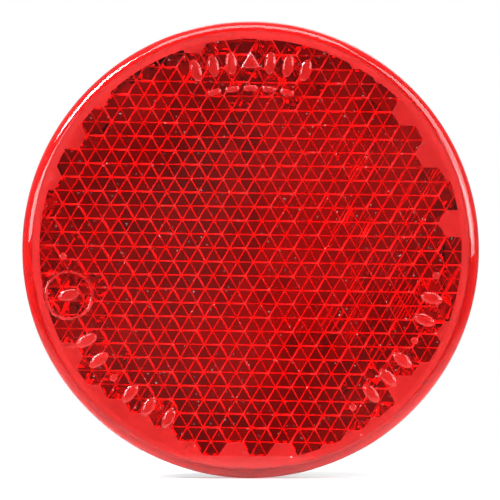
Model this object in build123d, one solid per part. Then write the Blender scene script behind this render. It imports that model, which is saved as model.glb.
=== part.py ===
from build123d import *
import os
from math import cos, radians, sin, sqrt

# Round red reflex reflector of a driveway marker, with a captive M5 stud for the marker post.
# Millimetres. The disc stands upright: its axis is Y, the lens faces -Y and +Z is up.
# The origin is where the stud's axis meets the mounting plane, the back of the foam gasket.

# ---- driving dimensions ----------------------------------------------------------------------
OUTER_R = 30.0            # radius of the moulded lens
BODY_DEPTH = 11.0         # lens face to mounting plane
RIM_FILLET = 1.4          # rounded front edge of the lens

PLATE = 1.8               # clear plate in front of the prisms
SKIRT_DEPTH = 4.8         # lens face to the end of the skirt
SKIRT_WALL = 1.3          # skirt thickness

CELL_SIDE = 2.1           # side of one hexagonal prism cell
FIELD_R = 27.7            # circle that ends the prism field
FIELD_TILT = 0.85         # degrees, clockwise seen from the front
FIELD_SHIFT_X = 1.44      # centre cell's offset from the disc's axis
FIELD_SHIFT_Z = 0.18
EDGE_CELL_R = 28.5        # cell centres are kept inside this circle in the upper part
LOW_CELL_R = 26.8         # and inside this smaller one in the lower part
LOW_CELL_Z = -13.0        # height where the lower part begins

RELIEF = 0.25             # height of the raised marks on the lens face
MARK_W = 1.5              # narrow size of an oval mark
MARK_L = 2.9              # long size of an oval mark
MARK_R = 24.6             # circle that the ovals, beads and the arrowhead stand on
BAR_R = 21.2              # smaller circle of the bars under the arrowhead
BAR_L = 1.9               # long size of a bar
HOOP_R = 3.3              # outer radius of the hoop, a raised band round one more oval
HOOP_W = 0.5              # width of the band
HOOP_ANGLE = 256          # its place on the ovals' circle
# Degrees clockwise from the top, seen from the front.
OVAL_ANGLES = (-17, -11.5, -6, 6, 11.5, 17,
               105, 112, 126, 133, 140,
               206, 213, 220, 234, 241)
BEAD_ANGLES = (98, 119, 147, 227, 268)
BAR_ANGLES = (-13, -6.5, 0, 6.5, 13)

WALL_R = 29.6             # outer radius of the housing
SPIGOT_R = 28.6           # outer radius of the wall inside the lens skirt
CAVITY_R = 27.9           # inner radius of the housing
BACK_Y = -0.9             # rim of the housing's back
FLOOR_Y = -3.4            # inside of the housing's floor
BACK_FILLET = 1.6
WELD_GAP = 0.05           # melt film between the spigot and the lens plate

GASKET_R = 24.0
GASKET_HOLE_R = 8.0
GASKET_T = 1.6
GASKET_CLEAR = 0.2        # slack around the gasket in its recess

STUD_R = 2.5              # M5
STUD_LENGTH = 18.0        # under the head
STUD_CHAMFER = 0.6
HEX_AF = 8.0              # across flats, bolt head and nut
HEAD_T = 2.0
HOLE_R = 2.6              # hole through the housing's floor
POCKET_AF = 8.1
POCKET_WALL_R = 6.3
POCKET_TOP_Y = -5.2

RING_SECTION = 1.3        # width of the squeezed sealing ring under the bolt head
RING_R = 3.25             # to the middle of its section
SEAT_R = 4.0              # counterbore that holds the sealing ring
SEAT_DEPTH = 1.2

RIB_COUNT = 6
RIB_T = 1.0
RIB_TOP_Y = -5.4

RETAINER_R = 5.6          # push-on retainer behind the housing
RETAINER_T = 0.45
RETAINER_BORE_R = 2.53
RETAINER_SLOTS = 6
RETAINER_SLOT_L = 1.6
RETAINER_SLOT_W = 0.5

PANEL_T = 3.0             # thickness of the post that the nut clamps, left open at rest
WASHER_R = 5.0
WASHER_BORE_R = 2.65
WASHER_T = 1.0
SPRING_R = 4.6
SPRING_BORE_R = 2.6
SPRING_T = 1.2
SPRING_SPLIT = 0.7
SPRING_SLANT = 20.0       # degrees, of the split to the axis
NUT_T = 4.0
NUT_BORE_R = 2.56
NUT_FACE_R = 4.0          # circle that the corner chamfers leave on the nut's faces
NUT_CHAMFER_DROP = 0.4    # how far down the corners the 30 degree chamfers reach
NUT_SINK = 0.4            # countersink of the bore

# ---- worked out from those -------------------------------------------------------------------
FACE_Y = -BODY_DEPTH
PLATE_Y = FACE_Y + PLATE
SKIRT_Y = FACE_Y + SKIRT_DEPTH
SKIRT_IN_R = OUTER_R - SKIRT_WALL
CELL_DEPTH = CELL_SIDE * sqrt(2)      # a cube's corner, peak to valley
GASKET_Y = -GASKET_T
STUD_END_Y = FLOOR_Y + STUD_LENGTH
WASHER_Y = PANEL_T
SPRING_Y = WASHER_Y + WASHER_T
NUT_Y = SPRING_Y + SPRING_T


def turned(outline):
    """Solid of revolution about the Y axis from an outline of lines and arcs in (radius, y)."""
    return revolve(make_face(outline), axis=Axis.Y)


def turned_polygon(*points):
    return turned(Polyline(*points, close=True))


def disc(radius, y_low, y_high):
    return turned_polygon((0, y_low), (radius, y_low), (radius, y_high), (0, y_high))


def along_y(sketch, y_low, y_high):
    """Extrudes a sketch, drawn as seen from the front, from y_low to y_high."""
    front_plane = Plane(origin=(0, y_low, 0), x_dir=(1, 0, 0), z_dir=(0, -1, 0))
    return extrude(front_plane * sketch, amount=y_low - y_high)


def hexagon(across_flats):
    return RegularPolygon(across_flats / 2, 6, major_radius=False)


# ---- lens ------------------------------------------------------------------------------------
def cell_centres():
    """Centres of the prism cells, columns side by side with every second one half a cell up."""
    column_step = 1.5 * CELL_SIDE
    row_step = sqrt(3) * CELL_SIDE
    tilt = radians(-FIELD_TILT)
    reach = int(OUTER_R / column_step) + 1
    centres = []
    for column in range(-reach, reach + 1):
        for row in range(-reach, reach + 1):
            x = FIELD_SHIFT_X + column * column_step
            z = FIELD_SHIFT_Z + (row + column % 2 / 2) * row_step
            limit = LOW_CELL_R if z < LOW_CELL_Z else EDGE_CELL_R
            if sqrt(x * x + z * z) < limit:
                turned_x = x * cos(tilt) - z * sin(tilt)
                turned_z = x * sin(tilt) + z * cos(tilt)
                centres.append((turned_x, turned_z))
    return centres


def cube_corner_cell():
    """Hexagonal column that ends in the corner of a cube: three square-cornered faces at a peak."""
    base_y = PLATE_Y - PLATE / 2
    low = []
    top = []
    for corner in range(6):
        angle = radians(60 * corner - FIELD_TILT)
        x = CELL_SIDE * cos(angle)
        z = CELL_SIDE * sin(angle)
        height = CELL_DEPTH / 2 if corner % 2 == 0 else 0
        low.append(Vector(x, base_y, z))
        top.append(Vector(x, PLATE_Y + height, z))
    peak = Vector(0, PLATE_Y + CELL_DEPTH, 0)
    outlines = [low]
    for corner in range(6):
        after = (corner + 1) % 6
        outlines.append([low[corner], low[after], top[after], top[corner]])
    for corner in (0, 2, 4):
        outlines.append([peak, top[corner], top[corner + 1], top[(corner + 2) % 6]])
    faces = [Face(Wire.make_polygon(outline, close=True)) for outline in outlines]
    return Solid(Shell(faces))


def prism_field():
    cell = cube_corner_cell()
    cells = [Pos(x, 0, z) * cell for x, z in cell_centres()]
    field = cells[0].fuse(*cells[1:])
    return field & disc(FIELD_R, FACE_Y, 0)


def lens_shell():
    """Plate with a rounded front edge and a skirt that covers the housing's wall."""
    face_edge = (OUTER_R - RIM_FILLET, FACE_Y)
    side_edge = (OUTER_R, FACE_Y + RIM_FILLET)
    bullnose = RadiusArc(face_edge, side_edge, -RIM_FILLET)
    rest = Polyline(side_edge, (OUTER_R, SKIRT_Y), (SKIRT_IN_R, SKIRT_Y),
                    (SKIRT_IN_R, PLATE_Y), (0, PLATE_Y), (0, FACE_Y), face_edge)
    return turned(bullnose + rest)


def mark_at(angle, radius, shape):
    """Places a mark on a circle, pointing outwards, at an angle clockwise from the top."""
    x = radius * sin(radians(angle))
    z = radius * cos(radians(angle))
    return Pos(x, z) * Rot(0, 0, -angle) * shape


def relief_marks():
    """Plain raised ovals, bars and beads near the edge, and an arrowhead for up."""
    oval = Ellipse(MARK_W / 2, MARK_L / 2)
    bar = SlotOverall(BAR_L, MARK_W / 2)
    bead = Circle(MARK_W / 3)
    arrow = RegularPolygon(MARK_W, 3, rotation=90)
    marks = [mark_at(0, MARK_R, arrow)]
    marks += [mark_at(angle, MARK_R, oval) for angle in OVAL_ANGLES]
    marks += [mark_at(angle, MARK_R, bead) for angle in BEAD_ANGLES]
    marks += [mark_at(angle, BAR_R, bar) for angle in BAR_ANGLES]
    marks += [mark_at(HOOP_ANGLE, MARK_R, oval)]
    return along_y(Sketch() + marks, FACE_Y - RELIEF, FACE_Y + PLATE / 2)


def hoop_mark():
    """Raised band round one of the ovals, with sides that lean in towards its top."""
    base_y = FACE_Y + PLATE / 2
    top_y = FACE_Y - RELIEF
    inner = HOOP_R - HOOP_W
    lean = HOOP_W / 4
    band = turned_polygon((inner, base_y), (HOOP_R, base_y), (HOOP_R, FACE_Y), (HOOP_R - lean, top_y),
                          (inner + lean, top_y), (inner, FACE_Y))
    return Pos(MARK_R * sin(radians(HOOP_ANGLE)), 0, MARK_R * cos(radians(HOOP_ANGLE))) * band


def reflector_lens():
    return lens_shell() + prism_field() + relief_marks() + hoop_mark()


# ---- housing and what it holds ---------------------------------------------------------------
def housing_dish():
    outer = turned_polygon((0, BACK_Y), (0, SKIRT_Y), (WALL_R, SKIRT_Y), (WALL_R, BACK_Y))
    back_edge = outer.edges().filter_by(GeomType.CIRCLE).sort_by(Axis.Y)[-1]
    outer = fillet(back_edge, BACK_FILLET)
    spigot = disc(SPIGOT_R, PLATE_Y + WELD_GAP, FLOOR_Y)
    cavity = disc(CAVITY_R, FACE_Y, FLOOR_Y)
    recess = disc(GASKET_R + GASKET_CLEAR, GASKET_Y, 0)
    return outer + spigot - cavity - recess


def head_pocket():
    """Collar with a hexagonal pocket that keeps the bolt head from turning."""
    collar = disc(POCKET_WALL_R, POCKET_TOP_Y, FLOOR_Y)
    return collar - along_y(hexagon(POCKET_AF), POCKET_TOP_Y, FLOOR_Y)


def stiffening_ribs():
    inner = POCKET_WALL_R - RIB_T / 2
    outer = CAVITY_R + RIB_T / 4
    rib = Pos((inner + outer) / 2, 0) * Rectangle(outer - inner, RIB_T)
    ribs = [Rot(0, 0, 360 / RIB_COUNT * n) * rib for n in range(RIB_COUNT)]
    return along_y(Sketch() + ribs, RIB_TOP_Y, FLOOR_Y)


def back_housing():
    stud_hole = disc(HOLE_R, FACE_Y, 0)
    ring_seat = disc(SEAT_R, FLOOR_Y - WELD_GAP, FLOOR_Y + SEAT_DEPTH)
    return housing_dish() + head_pocket() + stiffening_ribs() - stud_hole - ring_seat


def mounting_bolt():
    """Thin hexagon head and a stud drawn at its thread's outer diameter."""
    head = along_y(hexagon(HEX_AF), FLOOR_Y - HEAD_T, FLOOR_Y)
    stud = turned_polygon((0, FLOOR_Y - HEAD_T / 2), (STUD_R, FLOOR_Y - HEAD_T / 2),
                          (STUD_R, STUD_END_Y - STUD_CHAMFER),
                          (STUD_R - STUD_CHAMFER, STUD_END_Y), (0, STUD_END_Y))
    return head + stud


def sealing_ring():
    """Rubber ring squeezed flat between the bolt head and the floor of its seat."""
    middle_y = FLOOR_Y + SEAT_DEPTH / 2
    section = RectangleRounded(RING_SECTION, SEAT_DEPTH, SEAT_DEPTH / 2 - WELD_GAP)
    return revolve(Pos(RING_R, middle_y) * section, axis=Axis.Y)


def push_on_retainer():
    """Slotted spring-steel disc pushed over the stud, which holds the bolt in the housing."""
    plate = disc(RETAINER_R, GASKET_Y, GASKET_Y + RETAINER_T) - disc(RETAINER_BORE_R, FACE_Y, 0)
    slot = Pos(RETAINER_BORE_R + RETAINER_SLOT_L / 3, 0) * Rectangle(RETAINER_SLOT_L, RETAINER_SLOT_W)
    slots = [Rot(0, 0, 360 / RETAINER_SLOTS * n) * slot for n in range(RETAINER_SLOTS)]
    return plate - along_y(Sketch() + slots, GASKET_Y, 0)


def foam_gasket():
    return disc(GASKET_R, GASKET_Y, 0) - disc(GASKET_HOLE_R, FACE_Y, 0)


# ---- nut and washers on the stud -------------------------------------------------------------
def flat_washer():
    return disc(WASHER_R, WASHER_Y, SPRING_Y) - disc(WASHER_BORE_R, WASHER_Y, SPRING_Y)


def spring_washer():
    """Split lock washer with its slanted cut, drawn compressed flat."""
    ring = disc(SPRING_R, SPRING_Y, NUT_Y) - disc(SPRING_BORE_R, SPRING_Y, NUT_Y)
    middle_y = SPRING_Y + SPRING_T / 2
    blade = Box(SPRING_SPLIT, 3 * SPRING_T, SPRING_R)
    return ring - Pos(0, middle_y, SPRING_R) * Rot(0, 0, SPRING_SLANT) * blade


def hex_nut():
    """M5 nut with both faces chamfered to a circle and a countersunk bore."""
    near_y = NUT_Y
    far_y = NUT_Y + NUT_T
    blank = along_y(hexagon(HEX_AF), near_y, far_y)
    edge_r = NUT_FACE_R + NUT_CHAMFER_DROP * sqrt(3)
    barrel = turned_polygon((0, near_y), (NUT_FACE_R, near_y), (edge_r, near_y + NUT_CHAMFER_DROP),
                            (edge_r, far_y - NUT_CHAMFER_DROP), (NUT_FACE_R, far_y), (0, far_y))
    bore = turned_polygon((0, near_y), (NUT_BORE_R + NUT_SINK, near_y), (NUT_BORE_R, near_y + NUT_SINK),
                          (NUT_BORE_R, far_y - NUT_SINK), (NUT_BORE_R + NUT_SINK, far_y), (0, far_y))
    return (blank & barrel) - bore


SUB_PARTS = {
    "reflector_lens": reflector_lens,
    "back_housing": back_housing,
    "mounting_bolt": mounting_bolt,
    "sealing_ring": sealing_ring,
    "push_on_retainer": push_on_retainer,
    "foam_gasket": foam_gasket,
    "flat_washer": flat_washer,
    "spring_washer": spring_washer,
    "hex_nut": hex_nut,
}

os.makedirs("parts", exist_ok=True)
for name, make in SUB_PARTS.items():
    export_step(make(), f"parts/{name}.step")
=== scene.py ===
import math
import random

import bmesh
import bpy
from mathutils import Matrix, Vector

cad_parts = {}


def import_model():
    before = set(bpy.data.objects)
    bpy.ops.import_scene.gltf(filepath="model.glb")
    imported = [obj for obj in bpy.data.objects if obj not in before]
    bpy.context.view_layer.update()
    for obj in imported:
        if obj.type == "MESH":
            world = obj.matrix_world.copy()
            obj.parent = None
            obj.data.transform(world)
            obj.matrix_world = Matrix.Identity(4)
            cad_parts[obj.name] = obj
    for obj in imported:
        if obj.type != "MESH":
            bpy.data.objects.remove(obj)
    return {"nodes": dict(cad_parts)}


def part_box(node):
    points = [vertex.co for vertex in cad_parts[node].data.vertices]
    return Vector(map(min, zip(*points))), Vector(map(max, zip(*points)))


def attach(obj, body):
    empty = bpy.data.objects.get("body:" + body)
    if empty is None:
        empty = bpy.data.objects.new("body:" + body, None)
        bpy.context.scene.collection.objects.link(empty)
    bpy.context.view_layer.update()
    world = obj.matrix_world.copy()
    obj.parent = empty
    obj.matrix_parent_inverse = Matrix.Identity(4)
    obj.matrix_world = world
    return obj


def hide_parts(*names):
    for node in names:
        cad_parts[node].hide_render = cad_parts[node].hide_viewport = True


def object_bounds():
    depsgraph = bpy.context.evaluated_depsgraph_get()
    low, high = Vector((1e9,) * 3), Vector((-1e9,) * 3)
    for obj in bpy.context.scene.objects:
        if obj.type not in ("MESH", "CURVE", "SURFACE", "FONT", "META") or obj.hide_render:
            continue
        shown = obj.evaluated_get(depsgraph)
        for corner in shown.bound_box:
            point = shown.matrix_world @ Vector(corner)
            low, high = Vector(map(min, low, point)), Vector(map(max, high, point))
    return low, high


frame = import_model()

# Round red reflex reflector. The lens faces -Y, the stud points along +Y and y = 0 is the mounting plane.
# All lengths are in metres: MM turns a design size in millimetres into them.
MM = 0.001
CAD_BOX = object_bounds()
RANDOM = random.Random(7)

# ---- sizes read from the frame -------------------------------------------------------------------
LENS_LOW, LENS_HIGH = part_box("reflector_lens")
BOLT_LOW, BOLT_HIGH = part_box("mounting_bolt")
GASKET_LOW, GASKET_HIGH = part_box("foam_gasket")
WASHER_LOW, WASHER_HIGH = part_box("flat_washer")
SPRING_LOW, SPRING_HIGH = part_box("spring_washer")
NUT_LOW, NUT_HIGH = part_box("hex_nut")

# ---- lens ----------------------------------------------------------------------------------------
LENS_R = LENS_HIGH[0]
SKIRT_Y = LENS_HIGH[1]
RELIEF = 0.25 * MM        # height of the raised marks on the lens face
FACE_Y = LENS_LOW[1] + RELIEF
RIM_FILLET = 1.4 * MM     # rounded front edge
PLATE = 1.8 * MM          # clear plate in front of the prisms
PLATE_Y = FACE_Y + PLATE
SKIRT_WALL = 1.3 * MM
SKIRT_CHAMFER = 0.15 * MM
AIR_GAP = 0.03 * MM       # keeps the skirt off the housing's shoulder
ROUND_STEPS = 256
FILLET_STEPS = 24

CELL_SIDE = 2.1 * MM      # side of one hexagonal prism cell
CELL_DEPTH = CELL_SIDE * math.sqrt(2)     # a cube's corner, peak to valley
FIELD_R = 27.7 * MM       # circle that ends the prism field
FIELD_TILT = 0.85         # degrees, clockwise seen from the front
FIELD_SHIFT = (1.44 * MM, 0.18 * MM)      # centre cell's offset from the disc's axis
EDGE_CELL_R = 28.5 * MM   # cell centres are kept inside this circle in the upper part
LOW_CELL_R = 26.8 * MM    # and inside this smaller one in the lower part
LOW_CELL_Z = -13.0 * MM   # height where the lower part begins
FLAT_CELL_ANGLES = (-73, -56, 46, 60, 81)   # degrees clockwise from the top: cells left plain at the edge
FLAT_CELL_REACH = 2.6     # degrees to either side of those
FLAT_CELL_R = 25.4 * MM   # and only outside this circle

# ---- marks on the lens face, their angles in degrees clockwise from the top ----------------------
MARK_W = 1.5 * MM
MARK_L = 2.9 * MM
MARK_R = 24.6 * MM        # circle that the ovals, beads and the arrowhead stand on
BEAD_W = MARK_W * 2 / 3
BAR_R = 21.2 * MM         # smaller circle of the bars under the arrowhead
BAR_L = 1.9 * MM
BAR_W = MARK_W / 2
HOOP_R = 3.3 * MM         # outer radius of the hoop round one more oval
HOOP_W = 0.5 * MM
HOOP_ANGLE = 256
OVAL_ANGLES = (-17, -11.5, -6, 6, 11.5, 17,
               105, 112, 126, 133, 140,
               206, 213, 220, 234, 241)
BEAD_ANGLES = (98, 119, 147, 227, 268)
BAR_ANGLES = (-13, -6.5, 0, 6.5, 13)
# A domed mark's section: share of its outline, and share of RELIEF above the face.
DOME = ((1.0, -0.3), (1.0, 0.3), (0.93, 0.62), (0.8, 0.86), (0.6, 1.0))
# The hoop's section: share of HOOP_W in from its outer edge, and share of RELIEF above the face.
HOOP_SECTION = ((0, -0.3), (0, 0.4), (0.25, 0.9), (0.5, 1.0), (0.75, 0.9), (1, 0.4), (1, -0.3))
OVAL_STEPS = 32
SLOT_STEPS = 12
HOOP_STEPS = 72

# ---- wear of the lens ----------------------------------------------------------------------------
SEAM_W = 0.26 * MM        # half width of a valley between cells at a share of 1
SEAM_SHARES = (0.66, 0.58, 0.58)      # share of the valleys along X and along either slant
SEAM_LEANS = (0.0, 0.34, -0.34)       # how much the share grows from the disc's axis to its +X edge
SEAM_MOST = 0.8           # greatest share
SEAM_RANGE = (0.8, 1.0)   # a valley's width strays in this range
RIDGE_W = 0.125 * MM      # half width of a worn edge inside a cell
RIDGE_RANGE = (0.9, 1.1)
TOOL_ERROR = 0.005 * MM   # how far a prism's corners stray along Y
LAND_RISE = 0.03 * MM     # how far the flat lands behind the marks stand off the plate's back
WORN = 1                  # material index of the worn edges while the lens is being made
EDGE_HAZE = 1.0           # share of the light that a worn edge scatters
LAND_HAZE = 0.48
WELD_HAZE = 0.48
SKIRT_HAZE = 0.85
SKIRT_FROM_R = LENS_R - 1.1 * SKIRT_WALL    # faces further out than this are the skirt's
SKIRT_TO_R = LENS_R - SKIRT_WALL / 20       # and further out than this they are its clear outside
FLAT = 0.9999             # least Y of a flat face's normal
LENS_CREASE = 12          # an edge that turns by more degrees than this stays sharp

# ---- fastening -----------------------------------------------------------------------------------
BACK_Y = -0.9 * MM        # rim of the housing's back, where the thread begins
HEAD_T = 2.0 * MM
HEX_CHAMFER = 0.1 * MM
HEX_CHAMFER_ANGLE = 30
HEAD_ROUND = 0.08 * MM
NUT_ROUND = 0.06 * MM
ROUND_SEGMENTS = 2
STUD_R = 2.5 * MM         # M5
STUD_CHAMFER = 0.6 * MM
PITCH = 0.8 * MM          # M5 coarse thread
THREAD_DEPTH = 0.46 * MM
THREAD_GAP = 0.08 * MM    # between the stud's thread and the nut's
THREAD_ROOT = 0.25        # shares of the pitch that the flat root and crest take
THREAD_CREST = 0.125
THREAD_STEPS = 72
ROWS_PER_PITCH = 16
ROD_OVERLAP = 0.2 * MM    # the stud starts this deep in the head
CUT_REACH = 0.5 * MM      # how far a cutter goes past the nut's faces
MOUTH_WIDER = 0.3 * MM    # the nut's countersink is this much wider than the stud at its faces
MOUTH_DEEP = 0.6 * MM     # and its 45 degree cone is cut this deep
HEX_STEPS = 96
METAL_CREASE = 25         # degrees, as LENS_CREASE

WASHER_BORE = 2.65 * MM
WASHER_CRISP = 0.05 * MM  # edge round on the die's side, and on the other
WASHER_SOFT = 0.18 * MM
CRISP_STEPS = 4
SOFT_STEPS = 8
WASHER_STEPS = 128
SPRING_BORE = 2.6 * MM
SPRING_SOFT = 0.12 * MM
SPRING_SOFT_STEPS = 5
SPRING_CUT = 0.7 * MM     # width of the split
SPRING_SLANT = 20         # degrees, of the split to the axis
SPRING_CUT_AT = math.radians(90)
SPRING_STEPS = 120
GASKET_BORE = 8.0 * MM
GASKET_SOFT = 0.25 * MM
GASKET_SOFT_STEPS = 6
GASKET_WAIST = 0.2 * MM   # how far a cut edge of the foam is drawn in
GASKET_STEPS = 192
GASKET_CREASE = 50


# ---- shapes --------------------------------------------------------------------------------------
def mesh_object(name, bm):
    bmesh.ops.recalc_face_normals(bm, faces=bm.faces)
    mesh = bpy.data.meshes.new(name)
    bm.to_mesh(mesh)
    bm.free()
    obj = bpy.data.objects.new(name, mesh)
    bpy.context.scene.collection.objects.link(obj)
    return obj


def applied(obj):
    """Replaces an object's mesh with what its modifiers make of it."""
    depsgraph = bpy.context.evaluated_depsgraph_get()
    mesh = bpy.data.meshes.new_from_object(obj.evaluated_get(depsgraph))
    obj.modifiers.clear()
    obj.data = mesh
    return obj


def boolean(obj, other, operation):
    cut = obj.modifiers.new("cut", "BOOLEAN")
    cut.operation = operation
    cut.object = other
    cut.solver = "EXACT"
    applied(obj)
    bpy.data.objects.remove(other)
    return obj


def smoothed(obj, degrees=30):
    for face in obj.data.polygons:
        face.use_smooth = True
    obj.data.set_sharp_from_angle(angle=math.radians(degrees))
    return obj


def rounded(obj, width, degrees=30):
    """Breaks the sharp edges of a piece by a small round."""
    bevel = obj.modifiers.new("round", "BEVEL")
    bevel.limit_method = "ANGLE"
    bevel.angle_limit = math.radians(degrees)
    bevel.width = width
    bevel.segments = ROUND_SEGMENTS
    return smoothed(applied(obj), degrees)


def polar(radius, angle):
    """The (x, z) at a radius and an angle in radians, from +X towards +Z."""
    return radius * math.cos(angle), radius * math.sin(angle)


def arc(centre, radius, start, end, steps):
    """Points of an arc in (radius, y), angles in degrees from the +radius direction towards +y."""
    points = []
    for n in range(steps + 1):
        right, up = polar(radius, math.radians(start + (end - start) * n / steps))
        points.append((centre[0] + right, centre[1] + up))
    return points


def skin(bm, rings):
    """Joins each ring of vertices to the next by a band of faces."""
    for low, high in zip(rings, rings[1:]):
        for n in range(len(low)):
            after = (n + 1) % len(low)
            bm.faces.new([low[n], low[after], high[after], high[n]])


def turned(name, outline, steps=ROUND_STEPS):
    """Closed solid of revolution about Y from an outline of (radius, y) points. Radius 0 ends on the axis."""
    bm = bmesh.new()
    rings = []
    for radius, y in outline:
        if radius <= 0:
            rings.append([bm.verts.new((0, y, 0))])
            continue
        ring = []
        for n in range(steps):
            x, z = polar(radius, 2 * math.pi * n / steps)
            ring.append(bm.verts.new((x, y, z)))
        rings.append(ring)
    pairs = list(zip(rings, rings[1:]))
    if len(rings[0]) > 1:
        pairs.append((rings[-1], rings[0]))
    for low, high in pairs:
        for n in range(steps):
            corners = [low[n % len(low)], high[n % len(high)],
                       high[(n + 1) % len(high)], low[(n + 1) % len(low)]]
            unique = list(dict.fromkeys(corners))
            if len(unique) > 2:
                bm.faces.new(unique)
    return mesh_object(name, bm)


# ---- lens pieces ---------------------------------------------------------------------------------
def cell_centres():
    column_step = 1.5 * CELL_SIDE
    row_step = math.sqrt(3) * CELL_SIDE
    tilt = math.radians(-FIELD_TILT)
    reach = int(LENS_R / column_step) + 1
    centres = []
    for column in range(-reach, reach + 1):
        for row in range(-reach, reach + 1):
            x = FIELD_SHIFT[0] + column * column_step
            z = FIELD_SHIFT[1] + (row + column % 2 / 2) * row_step
            limit = LOW_CELL_R if z < LOW_CELL_Z else EDGE_CELL_R
            turn = math.degrees(math.atan2(x, z))
            radius = math.hypot(x, z)
            near = any(abs(turn - flat) < FLAT_CELL_REACH for flat in FLAT_CELL_ANGLES)
            plain = near and radius > FLAT_CELL_R
            if radius < limit and not plain:
                centres.append((x * math.cos(tilt) - z * math.sin(tilt),
                                x * math.sin(tilt) + z * math.cos(tilt)))
    return centres


def seam_share(edge):
    """The share of SEAM_W that the valley along an edge of the prism sheet has, before it strays."""
    low, high = (vert.co for vert in edge.verts)
    way = round(math.degrees(math.atan2(high.z - low.z, high.x - low.x)) / 60) % 3
    lean = (low.x + high.x) / 2 / LENS_R
    return min(SEAM_SHARES[way] + SEAM_LEANS[way] * lean, SEAM_MOST)


def prism_sheet():
    """The prisms' stacked-cube surface as one sheet, with bevel weights on its edges."""
    bm = bmesh.new()
    made = {}

    def vertex(x, height, z):
        """Neighbouring cells share a corner, which they agree on to a micron."""
        key = (round(x / MM, 3), round(z / MM, 3))
        if key not in made:
            stray = RANDOM.uniform(-1, 1) * TOOL_ERROR
            made[key] = bm.verts.new((x, PLATE_Y + height + stray, z))
        return made[key]

    ridges = []
    for x, z in cell_centres():
        peak = vertex(x, CELL_DEPTH, z)
        ring = []
        for corner in range(6):
            right, up = polar(CELL_SIDE, math.radians(60 * corner - FIELD_TILT))
            height = CELL_DEPTH / 2 if corner % 2 == 0 else 0
            ring.append(vertex(x + right, height, z + up))
        for corner in (0, 2, 4):
            bm.faces.new([peak, ring[corner], ring[corner + 1], ring[(corner + 2) % 6]])
            ridges.append((peak, ring[corner]))
    weight = bm.edges.layers.float.new("bevel_weight_edge")
    for edge in bm.edges:
        width = seam_share(edge) * RANDOM.uniform(*SEAM_RANGE)
        edge[weight] = width if len(edge.link_faces) == 2 else 0.0
    for low, high in ridges:
        bm.edges.get((low, high))[weight] = RIDGE_W / SEAM_W * RANDOM.uniform(*RIDGE_RANGE)
    return mesh_object("prism_sheet", bm)


def prism_block():
    """Bevelled prisms, closed at the front by a flat inside the plate and cut off at the field's circle."""
    block = prism_sheet()
    for name in ("moulded", "worn"):
        block.data.materials.append(bpy.data.materials.new(name))
    bevel = block.modifiers.new("bevel", "BEVEL")
    bevel.material = WORN
    bevel.limit_method = "WEIGHT"
    bevel.offset_type = "OFFSET"
    bevel.width = SEAM_W
    bevel.segments = 1
    bevel.use_clamp_overlap = False
    applied(block)
    bm = bmesh.new()
    bm.from_mesh(block.data)
    made = bmesh.ops.extrude_face_region(bm, geom=list(bm.faces))
    for item in made["geom"]:
        if isinstance(item, bmesh.types.BMVert):
            item.co.y = PLATE_Y - PLATE / 2
    bmesh.ops.recalc_face_normals(bm, faces=bm.faces)
    bm.to_mesh(block.data)
    bm.free()
    before = FACE_Y + PLATE / 4
    field = turned("field", [(0, before), (FIELD_R, before), (FIELD_R, 0), (0, 0)])
    return boolean(block, field, "INTERSECT")


def lens_shell():
    fillet = arc((LENS_R - RIM_FILLET, FACE_Y + RIM_FILLET), RIM_FILLET, -90, 0, FILLET_STEPS)
    end = SKIRT_Y - AIR_GAP
    inner = LENS_R - SKIRT_WALL
    outline = [(0, FACE_Y), *fillet, (LENS_R, end - SKIRT_CHAMFER), (LENS_R - SKIRT_CHAMFER, end),
               (inner, end), (inner, PLATE_Y), (0, PLATE_Y)]
    return turned("reflector_lens_glass", outline)


def oval_outline(width, length):
    outline = []
    for n in range(OVAL_STEPS):
        angle = 2 * math.pi * n / OVAL_STEPS
        outline.append((width / 2 * math.cos(angle), length / 2 * math.sin(angle)))
    return outline


def slot_outline(length, width):
    outline = []
    for side in (1, -1):
        for n in range(SLOT_STEPS + 1):
            right, up = polar(width / 2, math.radians(-90 + 180 * n / SLOT_STEPS))
            outline.append((side * ((length - width) / 2 + right), side * up))
    return outline


def arrow_outline(radius):
    return [polar(radius, math.radians(90 + 120 * n)) for n in range(3)]


def placed(outline, angle, radius):
    """Moves an outline of (x, z) points to its angle and circle on the lens face."""
    turn = math.radians(angle)
    x0, z0 = radius * math.sin(turn), radius * math.cos(turn)
    return [(x0 + x * math.cos(turn) + z * math.sin(turn), z0 - x * math.sin(turn) + z * math.cos(turn))
            for x, z in outline]


def all_marks():
    """Outlines in (x, z) of every mark on the lens face but the hoop."""
    marks = [placed(arrow_outline(MARK_W), 0, MARK_R)]
    marks += [placed(oval_outline(MARK_W, MARK_L), angle, MARK_R) for angle in OVAL_ANGLES]
    marks += [placed(oval_outline(BEAD_W, BEAD_W), angle, MARK_R) for angle in BEAD_ANGLES]
    marks += [placed(slot_outline(BAR_L, BAR_W), angle, BAR_R) for angle in BAR_ANGLES]
    return marks + [placed(oval_outline(MARK_W, MARK_L), HOOP_ANGLE, MARK_R)]


def domed(bm, outline):
    """Adds a low cushion-shaped mark over a closed outline of (x, z) points, standing on the lens face."""
    cx = sum(p[0] for p in outline) / len(outline)
    cz = sum(p[1] for p in outline) / len(outline)
    rings = []
    for share, lift in DOME:
        rings.append([bm.verts.new((cx + (x - cx) * share, FACE_Y - lift * RELIEF, cz + (z - cz) * share))
                      for x, z in outline])
    skin(bm, rings)
    bm.faces.new(rings[-1])
    bm.faces.new(rings[0][::-1])


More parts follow.
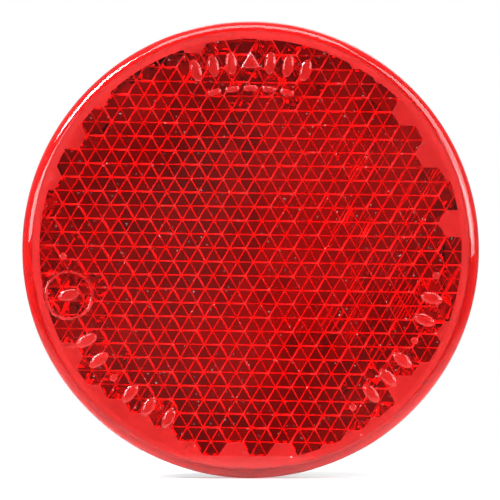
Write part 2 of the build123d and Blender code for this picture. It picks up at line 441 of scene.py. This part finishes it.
def banded(bm, section):
    """Adds the hoop: a closed section of (radius, y) points swept about the mark's centre."""
    turn = math.radians(HOOP_ANGLE)
    x0, z0 = MARK_R * math.sin(turn), MARK_R * math.cos(turn)
    rings = []
    for n in range(HOOP_STEPS):
        ring = []
        for radius, y in section:
            right, up = polar(radius, 2 * math.pi * n / HOOP_STEPS)
            ring.append(bm.verts.new((x0 + right, y, z0 + up)))
        rings.append(ring)
    skin(bm, [*rings, rings[0]])


def relief_marks():
    bm = bmesh.new()
    for outline in all_marks():
        domed(bm, outline)
    banded(bm, [(HOOP_R - share * HOOP_W, FACE_Y - lift * RELIEF) for share, lift in HOOP_SECTION])
    return mesh_object("relief", bm)


def mark_lands():
    """Plugs that cut the prisms away behind each mark, so that it shows up bright."""
    bm = bmesh.new()
    land_y = PLATE_Y + LAND_RISE
    for outline in all_marks():
        low = [bm.verts.new((x, land_y, z)) for x, z in outline]
        high = [bm.verts.new((x, 0, z)) for x, z in outline]
        bm.faces.new(low)
        bm.faces.new(high[::-1])
        skin(bm, [low, high])
    inner = HOOP_R - HOOP_W
    banded(bm, [(HOOP_R, land_y), (HOOP_R, 0), (inner, 0), (inner, land_y)])
    return mesh_object("lands", bm)


def haze_of(face):
    """Share of the light that a face of the lens scatters: it is clear but for worn, welded and flat ones."""
    centre = face.calc_center_median()
    radius = math.hypot(centre.x, centre.z)
    behind = centre.y > PLATE_Y - LAND_RISE / 2
    if face.material_index == WORN:
        return EDGE_HAZE
    if behind and FIELD_R < radius < SKIRT_TO_R:
        return SKIRT_HAZE if radius > SKIRT_FROM_R else WELD_HAZE
    if behind and centre.y < PLATE_Y + 2 * LAND_RISE and abs(face.normal.y) > FLAT:
        return LAND_HAZE
    return 0.0


def lens():
    """The whole lens. Its faces carry their haze as the attribute "worn"."""
    block = boolean(prism_block(), mark_lands(), "DIFFERENCE")
    shell = lens_shell()
    for material in block.data.materials:
        shell.data.materials.append(material)
    glass = boolean(boolean(shell, relief_marks(), "UNION"), block, "UNION")
    bm = bmesh.new()
    bm.from_mesh(glass.data)
    worn = bm.faces.layers.float.new("worn")
    bm.normal_update()
    for face in bm.faces:
        face[worn] = haze_of(face)
        face.material_index = 0
        face.smooth = True
    for edge in bm.edges:
        flat = any(abs(face.normal.y) > FLAT for face in edge.link_faces)
        edge.smooth = not flat and edge.calc_face_angle(math.pi) < math.radians(LENS_CREASE)
    bm.to_mesh(glass.data)
    bm.free()
    return glass


# ---- fastening pieces ----------------------------------------------------------------------------
def hexagonal(name, low, high, across):
    """Hexagonal block along Y with its corners on X, chamfered at both ends as a turned bar is."""
    bm = bmesh.new()
    corner_r = across / math.sqrt(3)
    ends = []
    for y in (low, high):
        corners = [polar(corner_r, math.radians(60 * n)) for n in range(6)]
        ends.append([bm.verts.new((x, y, z)) for x, z in corners])
    bm.faces.new(ends[0])
    bm.faces.new(ends[1][::-1])
    skin(bm, ends)
    block = mesh_object(name, bm)
    face_r = across / 2
    wide = corner_r + HEX_CHAMFER
    drop = (wide - face_r) * math.tan(math.radians(HEX_CHAMFER_ANGLE))
    cones = turned("cones", [(0, low), (face_r, low), (wide, low + drop),
                             (wide, high - drop), (face_r, high), (0, high)], HEX_STEPS)
    return boolean(block, cones, "INTERSECT")


def thread_radius(y, angle, crest):
    """Radius of a right-handed thread's surface about +Y: flat crests and roots, straight flanks."""
    turn = (y / PITCH + angle / (2 * math.pi)) % 1.0
    rise = abs(turn - 0.5) * 2
    share = min(max((rise - THREAD_ROOT) / (1 - THREAD_CREST - THREAD_ROOT), 0), 1)
    return crest - THREAD_DEPTH * (1 - share)


def threaded_rod(name, low, high, crest, start, chamfer):
    """Rod along Y from low to high, threaded from start on, with a chamfered far end."""
    bm = bmesh.new()
    rows = int(round((high - low) / (PITCH / ROWS_PER_PITCH)))
    rings = []
    for row in range(rows + 1):
        y = low + (high - low) * row / rows
        ring = []
        for n in range(THREAD_STEPS):
            angle = 2 * math.pi * n / THREAD_STEPS
            radius = thread_radius(y, angle, crest) if y > start else crest - THREAD_DEPTH / 2
            x, z = polar(min(radius, crest - chamfer + high - y), angle)
            ring.append(bm.verts.new((x, y, z)))
        rings.append(ring)
    skin(bm, rings)
    bm.faces.new(rings[0])
    bm.faces.new(rings[-1][::-1])
    return mesh_object(name, bm)


def bolt():
    head_end = BOLT_LOW[1] + HEAD_T
    across = BOLT_HIGH[2] - BOLT_LOW[2]
    head = rounded(hexagonal("mounting_bolt_threaded", BOLT_LOW[1], head_end, across), HEAD_ROUND)
    rod = threaded_rod("rod", head_end - ROD_OVERLAP, BOLT_HIGH[1], STUD_R, BACK_Y, STUD_CHAMFER)
    return smoothed(boolean(head, rod, "UNION"), METAL_CREASE)


def nut():
    low, high = NUT_LOW[1], NUT_HIGH[1]
    across = NUT_HIGH[2] - NUT_LOW[2]
    blank = rounded(hexagonal("hex_nut_threaded", low, high, across), NUT_ROUND)
    plug = threaded_rod("plug", low - CUT_REACH, high + CUT_REACH, STUD_R + THREAD_GAP,
                        low - 2 * CUT_REACH, 0)
    blank = boolean(blank, plug, "DIFFERENCE")
    mouth_r = STUD_R + MOUTH_WIDER
    for face, way in ((low, 1), (high, -1)):
        outside = face - way * CUT_REACH
        inside = face + way * MOUTH_DEEP
        cone = turned("mouth", [(0, outside), (mouth_r + CUT_REACH, outside),
                                (mouth_r - MOUTH_DEEP, inside), (0, inside)], HEX_STEPS)
        blank = boolean(blank, cone, "DIFFERENCE")
    return smoothed(blank, METAL_CREASE)


def flat_washer():
    """Pressed ring: crisp on the die's side and soft on the other."""
    low, high = WASHER_LOW[1], WASHER_HIGH[1]
    outer = WASHER_HIGH[0]
    crisp, soft = WASHER_CRISP, WASHER_SOFT
    outline = [*arc((outer - crisp, low + crisp), crisp, -90, 0, CRISP_STEPS),
               *arc((outer - soft, high - soft), soft, 0, 90, SOFT_STEPS),
               *arc((WASHER_BORE + soft, high - soft), soft, 90, 180, SOFT_STEPS),
               *arc((WASHER_BORE + crisp, low + crisp), crisp, 180, 270, CRISP_STEPS)]
    return smoothed(turned("flat_washer_pressed", outline, WASHER_STEPS))


def soft_section(bore, outer, low, high, soft, steps):
    """The four rounded corners of a ring's section, as arcs of (radius, y) points from the outer low one."""
    centres = ((outer - soft, low + soft), (outer - soft, high - soft),
               (bore + soft, high - soft), (bore + soft, low + soft))
    return [arc(centre, soft, 90 * n - 90, 90 * n, steps) for n, centre in enumerate(centres)]


def spring_washer():
    """One turn of square wire with a slanted cut."""
    low, high = SPRING_LOW[1], SPRING_HIGH[1]
    outer = SPRING_HIGH[0]
    section = sum(soft_section(SPRING_BORE, outer, low, high, SPRING_SOFT, SPRING_SOFT_STEPS), [])
    middle = (outer + SPRING_BORE) / 2
    half_cut = SPRING_CUT / 2 / middle
    bm = bmesh.new()
    rings = []
    for n in range(SPRING_STEPS + 1):
        ring = []
        for radius, y in section:
            slant = (y - (low + high) / 2) * math.tan(math.radians(SPRING_SLANT)) / middle
            x, z = polar(radius, SPRING_CUT_AT + slant + half_cut
                         + (2 * math.pi - 2 * half_cut) * n / SPRING_STEPS)
            ring.append(bm.verts.new((x, y, z)))
        rings.append(ring)
    skin(bm, rings)
    bm.faces.new(rings[0])
    bm.faces.new(rings[-1][::-1])
    return smoothed(mesh_object("spring_washer_split", bm))


def gasket():
    """Foam ring, die-cut: its cut edges are slightly waisted."""
    low, high = GASKET_LOW[1], GASKET_HIGH[1]
    outer = GASKET_HIGH[0]
    middle = (low + high) / 2
    corners = soft_section(GASKET_BORE, outer, low, high, GASKET_SOFT, GASKET_SOFT_STEPS)
    outline = [*corners[0], (outer - GASKET_WAIST, middle), *corners[1],
               *corners[2], (GASKET_BORE + GASKET_WAIST, middle), *corners[3]]
    return smoothed(turned("foam_gasket_cut", outline, GASKET_STEPS), GASKET_CREASE)


# ---- shader parts --------------------------------------------------------------------------------
def new_material(name):
    material = bpy.data.materials.new(name)
    material.use_nodes = True
    return material, material.node_tree, material.node_tree.nodes["Principled BSDF"]


def feed(tree, item, socket):
    """Gives an input a value of its own, or links it to another node's output."""
    if isinstance(item, bpy.types.NodeSocket):
        tree.links.new(item, socket)
    else:
        socket.default_value = item


def maths(tree, operation, first, second):
    node = tree.nodes.new("ShaderNodeMath")
    node.operation = operation
    feed(tree, first, node.inputs[0])
    feed(tree, second, node.inputs[1])
    return node.outputs["Value"]


def mixed(tree, kind, factor, first, second):
    """Mixes two values of the kind FLOAT or RGBA."""
    node = tree.nodes.new("ShaderNodeMix")
    node.data_type = kind
    feed(tree, factor, node.inputs["Factor"])
    feed(tree, first, node.inputs["A"])
    feed(tree, second, node.inputs["B"])
    return node.outputs["Result"]


def spread(tree, value, span, levels, smooth=False):
    """Maps a value from one range to another, held at the ends."""
    node = tree.nodes.new("ShaderNodeMapRange")
    if smooth:
        node.interpolation_type = "SMOOTHSTEP"
    feed(tree, value, node.inputs["Value"])
    names = ("From Min", "From Max", "To Min", "To Max")
    for name, number in zip(names, (*span, *levels)):
        node.inputs[name].default_value = number
    return node.outputs["Result"]


def noise(tree, scale, detail, stretch=(1, 1, 1), turn=0.0):
    """Noise in the piece's own space, drawn out along axes turned about Y. Scale is per metre."""
    coords = tree.nodes.new("ShaderNodeTexCoord")
    mapping = tree.nodes.new("ShaderNodeMapping")
    mapping.vector_type = "TEXTURE"
    mapping.inputs["Scale"].default_value = stretch
    mapping.inputs["Rotation"].default_value = (0, turn, 0)
    node = tree.nodes.new("ShaderNodeTexNoise")
    node.inputs["Scale"].default_value = scale
    node.inputs["Detail"].default_value = detail
    tree.links.new(coords.outputs["Object"], mapping.inputs["Vector"])
    tree.links.new(mapping.outputs["Vector"], node.inputs["Vector"])
    return node.outputs["Fac"]


# ---- red acrylic ---------------------------------------------------------------------------------
ACRYLIC_IOR = 1.49
DYE = (0.975, 0.0, 0.0, 1)
DYE_DENSITY = 820                   # per metre
# Each noise is its scale and detail, then the span of its values that counts and the levels that it gives.
EDGE_NOISE = (120, 2), (0.35, 0.65), (0.85, 1.0)      # evenness of the haze
STREAK_NOISE = (3600, 1), (0.66, 0.70), (0, 0.9)      # haze of the moulding streaks
SPECK_NOISE = (3400, 1), (0.77, 0.79), (0, 0.7)       # haze of the specks
GLOSS_NOISE = (90, 2), (0.45, 0.8), (0, 0.05)         # roughness of the lens face
STREAK_STRETCH = (1, 80, 22)        # Y is long, so that a streak stays one line on the tilted facets
STREAK_TURN = math.radians(30)
STREAK_X = (4 * MM, 15 * MM)        # the streaks come in over this part of X
STREAK_Z = (10 * MM, 17 * MM)       # and fade out at this distance above and below the axis
# The masks of the lens face and of the prisms change over these Y, and the prisms' mask over these radii.
FACE_FADE = (FACE_Y + 0.2 * MM, FACE_Y + 0.4 * MM)
PRISM_FADE = (PLATE_Y, PLATE_Y + 0.1 * MM)
FIELD_FADE = (FIELD_R - 0.5 * MM, FIELD_R - 0.3 * MM)
FACE_SPECKS = 0.35                  # the specks' share on the lens face


def lens_places(tree):
    """Masks over the lens: its face, its prisms, and the streaked part of the prisms."""
    coords = tree.nodes.new("ShaderNodeTexCoord")
    place = tree.nodes.new("ShaderNodeSeparateXYZ")
    tree.links.new(coords.outputs["Object"], place.inputs["Vector"])
    x, y, z = (place.outputs[axis] for axis in "XYZ")
    x_squared = maths(tree, "POWER", x, 2)
    z_squared = maths(tree, "POWER", z, 2)
    inside = spread(tree, maths(tree, "ADD", x_squared, z_squared), [r ** 2 for r in FIELD_FADE], (1, 0))
    face = spread(tree, y, FACE_FADE, (1, 0))
    prisms = maths(tree, "MULTIPLY", spread(tree, y, PRISM_FADE, (0, 1)), inside)
    right = spread(tree, x, STREAK_X, (0, 1))
    level = spread(tree, z_squared, [reach ** 2 for reach in STREAK_Z], (1, 0))
    return face, prisms, maths(tree, "MULTIPLY", maths(tree, "MULTIPLY", right, level), prisms)


def lens_material():
    """Red acrylic. Hazy faces, moulding streaks and specks scatter light instead of letting it through."""
    material, tree, shader = new_material("red_acrylic")
    shader.inputs["Base Color"].default_value = (1, 1, 1, 1)
    shader.inputs["IOR"].default_value = ACRYLIC_IOR
    dye = tree.nodes.new("ShaderNodeVolumeAbsorption")
    dye.inputs["Color"].default_value = DYE
    dye.inputs["Density"].default_value = DYE_DENSITY
    tree.links.new(dye.outputs["Volume"], tree.nodes["Material Output"].inputs["Volume"])

    def ranged(look, *stretch_and_turn):
        size, span, levels = look
        return spread(tree, noise(tree, *size, *stretch_and_turn), span, levels)

    face, prisms, streaked = lens_places(tree)
    worn = tree.nodes.new("ShaderNodeAttribute")
    worn.attribute_name = "worn"
    edges = maths(tree, "MULTIPLY", worn.outputs["Fac"], ranged(EDGE_NOISE))
    streaks = maths(tree, "MULTIPLY", ranged(STREAK_NOISE, STREAK_STRETCH, STREAK_TURN), streaked)
    speckled = maths(tree, "ADD", maths(tree, "MULTIPLY", face, FACE_SPECKS), prisms)
    specks = maths(tree, "MULTIPLY", ranged(SPECK_NOISE), speckled)
    scatter = maths(tree, "MAXIMUM", maths(tree, "MAXIMUM", edges, streaks), specks)
    tree.links.new(maths(tree, "SUBTRACT", 1.0, scatter), shader.inputs["Transmission Weight"])
    tree.links.new(maths(tree, "MULTIPLY", ranged(GLOSS_NOISE), face), shader.inputs["Roughness"])
    return material


# ---- opaque materials ----------------------------------------------------------------------------
PATCH_SPAN = (0.3, 0.7)
PATCH_DETAIL = 4
GLOSS_DETAIL = 3
GLOSS_SCALE = 2.3         # patches of gloss are this much finer than those of colour
GRAIN_DETAIL = 3
# The dark and light colour, the least and greatest roughness, the scales of patches and grain per metre,
# and the grain's depth. Stretch draws patches and grain out, as brushing or turning does.
ZINC = dict(dark=(0.60, 0.62, 0.66), light=(0.80, 0.81, 0.82), metal=1.0)
FINISHES = {
    "zinc_bolt": dict(ZINC, rough=(0.24, 0.42), patch=350, grain=2600, depth=0.004 * MM, stretch=(1, 2, 1)),
    "zinc_washer": dict(ZINC, rough=(0.2, 0.38), patch=250, grain=1800, depth=0.005 * MM, stretch=(3, 1, 1)),
    "zinc_nut": dict(ZINC, rough=(0.22, 0.4), patch=300, grain=2000, depth=0.005 * MM, stretch=(1, 1, 3)),
    "black_spring_steel": dict(dark=(0.10, 0.10, 0.11), light=(0.2, 0.19, 0.18), metal=1.0,
                               rough=(0.3, 0.5), patch=300, grain=2400, depth=0.005 * MM),
    "bright_spring_steel": dict(dark=(0.30, 0.30, 0.31), light=(0.42, 0.41, 0.40), metal=1.0,
                                rough=(0.25, 0.42), patch=350, grain=2600, depth=0.004 * MM),
    "closed_cell_foam": dict(dark=(0.022, 0.022, 0.024), light=(0.05, 0.05, 0.052), cells=True,
                             rough=(0.75, 0.95), patch=500, grain=2600, depth=0.12 * MM),
    "grey_abs": dict(dark=(0.36, 0.365, 0.37), light=(0.44, 0.445, 0.45),
                     rough=(0.36, 0.5), patch=60, grain=2500, depth=0.006 * MM),
    "black_rubber": dict(dark=(0.018, 0.018, 0.019), light=(0.035, 0.035, 0.036),
                         rough=(0.55, 0.75), patch=500, grain=2500, depth=0.01 * MM),
}


def textured(name, dark, light, rough, patch, grain, depth, metal=0.0, stretch=(1, 1, 1), cells=False):
    """Mottled colour, uneven gloss and a fine surface grain, or small cells in its place."""
    material, tree, shader = new_material(name)
    shader.inputs["Metallic"].default_value = metal
    patches = spread(tree, noise(tree, patch, PATCH_DETAIL, stretch), PATCH_SPAN, (0, 1))
    tree.links.new(mixed(tree, "RGBA", patches, (*dark, 1), (*light, 1)), shader.inputs["Base Color"])
    gloss = noise(tree, patch * GLOSS_SCALE, GLOSS_DETAIL, stretch)
    tree.links.new(spread(tree, gloss, PATCH_SPAN, rough), shader.inputs["Roughness"])
    if cells:
        coords = tree.nodes.new("ShaderNodeTexCoord")
        voronoi = tree.nodes.new("ShaderNodeTexVoronoi")
        voronoi.inputs["Scale"].default_value = grain
        tree.links.new(coords.outputs["Object"], voronoi.inputs["Vector"])
        height = voronoi.outputs["Distance"]
    else:
        height = noise(tree, grain, GRAIN_DETAIL, stretch)
    bump = tree.nodes.new("ShaderNodeBump")
    bump.inputs["Strength"].default_value = 1.0
    bump.inputs["Distance"].default_value = depth
    tree.links.new(height, bump.inputs["Height"])
    tree.links.new(bump.outputs["Normal"], shader.inputs["Normal"])
    return material


# ---- stage ---------------------------------------------------------------------------------------
PHOTO_HALF_W = 32.84 * MM   # half the picture's width, at the disc's edge
CAMERA_Y = -0.8
CAMERA_SHIFT = (-0.08 * MM, -0.04 * MM)   # along X and Z from the disc's axis
CLIP_START = 0.01
FLOOR_R = 0.1
FLOOR_DROP = 0.1 * MM       # below the disc
FLOOR_STEPS = 128
FLOOR_ROUGH = 0.9
GLOW_RADII = (0.02, FLOOR_R * 0.8)        # the floor's own white, which only the camera sees, grows here
GLOW_LEVELS = (0.45, 1.0)
GREY_RADII = (0.03, FLOOR_R)              # and its colour darkens here, so that it mirrors without an edge
GREY_LEVELS = (0.6, 0.1)
ROOM_NOISE = (40, 3)                      # scale and detail of the room's mottling
ROOM_SPAN = (0.35, 0.65)
ROOM_LEVELS = (0.15, 0.40)                # radiance of the room
ROOM_TINT = (1, 0.6, 0.57, 1)             # its colour behind the camera, which the prisms send back
TINT_SPAN = (-0.97, -0.8)                 # Y of the directions where that begins to fade and has gone
# Azimuth and elevation in degrees, distance, width and height, radiance.
LIGHTS = {
    "key": (-51, 38, 0.7, (0.3, 0.3), 34),
    "fill": (50, 22, 0.7, (0.5, 0.6), 6.6),
    "top": (0, 62, 0.8, (0.7, 0.4), 8),
    "low_left": (-34, 7, 0.7, (0.45, 0.14), 9),
    "low_right": (36, 7, 0.7, (0.4, 0.14), 7),
    "back": (170, 40, 0.9, (0.6, 0.6), 2),
}


def camera():
    data = bpy.data.cameras.new("camera")
    obj = bpy.data.objects.new("camera", data)
    bpy.context.scene.collection.objects.link(obj)
    obj.location = (CAMERA_SHIFT[0], CAMERA_Y, CAMERA_SHIFT[1])
    obj.rotation_euler = (math.pi / 2, 0, 0)
    reach = FACE_Y + RIM_FILLET - CAMERA_Y
    data.angle = 2 * math.atan(PHOTO_HALF_W / reach)
    data.clip_start = CLIP_START
    bpy.context.scene.camera = obj


def softbox(name, azimuth, elevation, distance, size, radiance):
    """Area light aimed at the disc. Azimuth 0 is the camera's side, positive to its right."""
    data = bpy.data.lights.new(name, "AREA")
    data.shape = "RECTANGLE"
    data.size, data.size_y = size
    data.energy = radiance * math.pi * size[0] * size[1]
    obj = bpy.data.objects.new(name, data)
    bpy.context.scene.collection.objects.link(obj)
    a, e = math.radians(azimuth), math.radians(elevation)
    away = Vector((math.sin(a) * math.cos(e), -math.cos(a) * math.cos(e), math.sin(e)))
    obj.location = away * distance
    obj.rotation_euler = away.to_track_quat("Z", "Y").to_euler()


def world():
    """White to the camera, and a dim room to every reflected or refracted ray, warmer behind the camera."""
    made = bpy.data.worlds.new("studio")
    bpy.context.scene.world = made
    made.use_nodes = True
    tree = made.node_tree
    background = tree.nodes["Background"]
    seen = tree.nodes.new("ShaderNodeLightPath").outputs["Is Camera Ray"]
    way = tree.nodes.new("ShaderNodeTexCoord").outputs["Generated"]
    mottling = tree.nodes.new("ShaderNodeTexNoise")
    for name, number in zip(("Scale", "Detail"), ROOM_NOISE):
        mottling.inputs[name].default_value = number
    tree.links.new(way, mottling.inputs["Vector"])
    room = spread(tree, mottling.outputs["Fac"], ROOM_SPAN, ROOM_LEVELS)
    tree.links.new(mixed(tree, "FLOAT", seen, room, 1.0), background.inputs["Strength"])
    away = tree.nodes.new("ShaderNodeSeparateXYZ")
    tree.links.new(way, away.inputs["Vector"])
    unseen = maths(tree, "SUBTRACT", 1.0, seen)
    warm = maths(tree, "MULTIPLY", spread(tree, away.outputs["Y"], TINT_SPAN, (1, 0)), unseen)
    tree.links.new(mixed(tree, "RGBA", warm, (1, 1, 1, 1), ROOM_TINT), background.inputs["Color"])


def floor_material():
    """Pale matt floor. Towards its edge it runs into the white background, and is dim in reflections."""
    material, tree, shader = new_material("floor")
    shader.inputs["Roughness"].default_value = FLOOR_ROUGH
    shader.inputs["Emission Color"].default_value = (1, 1, 1, 1)
    coords = tree.nodes.new("ShaderNodeTexCoord")
    length = tree.nodes.new("ShaderNodeVectorMath")
    length.operation = "LENGTH"
    tree.links.new(coords.outputs["Object"], length.inputs[0])
    radius = length.outputs["Value"]
    tree.links.new(spread(tree, radius, GREY_RADII, GREY_LEVELS), shader.inputs["Base Color"])
    seen = tree.nodes.new("ShaderNodeLightPath").outputs["Is Camera Ray"]
    glow = maths(tree, "MULTIPLY", spread(tree, radius, GLOW_RADII, GLOW_LEVELS, smooth=True), seen)
    tree.links.new(glow, shader.inputs["Emission Strength"])
    return material


def floor():
    bm = bmesh.new()
    bmesh.ops.create_circle(bm, cap_ends=True, segments=FLOOR_STEPS, radius=FLOOR_R)
    obj = mesh_object("floor", bm)
    obj.location.z = CAD_BOX[0][2] - FLOOR_DROP
    obj.data.materials.append(floor_material())


def stage():
    camera()
    world()
    floor()
    for name, light in LIGHTS.items():
        softbox(name, *light)
    bpy.context.scene.view_settings.view_transform = "Standard"


# ---- the object ----------------------------------------------------------------------------------
MATERIALS = {name: textured(name, **look) for name, look in FINISHES.items()}
MATERIALS["red_acrylic"] = lens_material()
# Pieces that stand for a CAD node: function, node, body, the record's slot and the material.
PIECES = (
    (lens, "reflector_lens", "reflector_body", "lens", "red_acrylic"),
    (bolt, "mounting_bolt", "reflector_body", "zinc_steel", "zinc_bolt"),
    (gasket, "foam_gasket", "reflector_body", "gasket_foam", "closed_cell_foam"),
    (flat_washer, "flat_washer", "washers", "zinc_steel", "zinc_washer"),
    (spring_washer, "spring_washer", "washers", "spring_steel", "black_spring_steel"),
    (nut, "hex_nut", "nut", "zinc_steel", "zinc_nut"),
)
for make, node, body, finish, material in PIECES:
    piece = make()
    piece.data.materials.clear()
    piece.data.materials.append(MATERIALS[material])
    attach(piece, body)
    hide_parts(node)

# CAD nodes that are shown as they are, with their materials.
SHOWN_NODES = {
    "back_housing": "grey_abs",
    "push_on_retainer": "bright_spring_steel",
    "sealing_ring": "black_rubber",
}
for node, material in SHOWN_NODES.items():
    for slot in frame["nodes"][node].material_slots:
        slot.material = MATERIALS[material]
stage()
